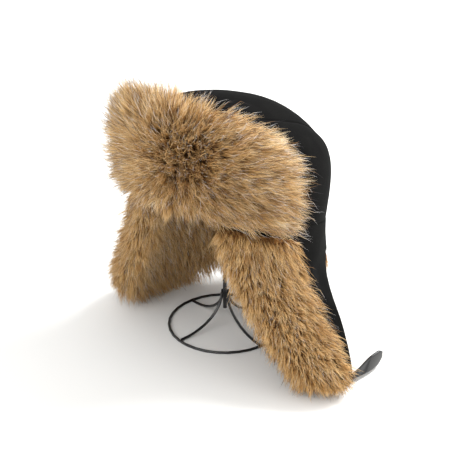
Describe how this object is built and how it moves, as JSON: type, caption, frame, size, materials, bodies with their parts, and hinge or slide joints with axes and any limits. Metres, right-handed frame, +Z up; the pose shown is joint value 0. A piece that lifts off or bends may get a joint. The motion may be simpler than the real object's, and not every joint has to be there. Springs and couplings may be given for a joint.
{
  "type": "trapper hat on a wire stand",
  "caption": "Black suede trapper hat with deep tan fur on its turned-up front and hanging ear flaps, worn by a round-footed wire display stand.",
  "frame": {"origin": "centre of the footprint of the whole thing, at the height of the stand's underside", "axes": "+Z up; the hat's front looks along -Y; the wearer's left ear flap is at +X"},
  "size_m": [0.34, 0.2714, 0.3058],
  "materials": {
    "suede": "matt black brushed suede cloth",
    "fur": "long tan faux fur, rust at the roots and grey at the tips",
    "strap": "gloss black",
    "wire": "satin black paint"
  },
  "bodies": {
    "root": {"crown_strip": "suede", "crown_side_left": "suede", "crown_side_right": "suede", "front_flap": "suede", "ear_flap_left": "suede", "ear_flap_right": "suede", "neck_flap": "suede", "front_flap_fur": "fur", "ear_fur_left": "fur", "ear_fur_right": "fur", "neck_fur": "fur", "chin_strap_left": "strap", "chin_strap_right": "strap", "stand_ring": "wire", "stand_leg_1": "wire", "stand_leg_2": "wire", "stand_leg_3": "wire", "stand_leg_4": "wire", "stand_post": "wire", "stand_arm_1": "wire", "stand_arm_2": "wire", "stand_arm_3": "wire", "stand_arm_4": "wire", "stand_top_ring": "wire"}
  },
  "joints": []
}
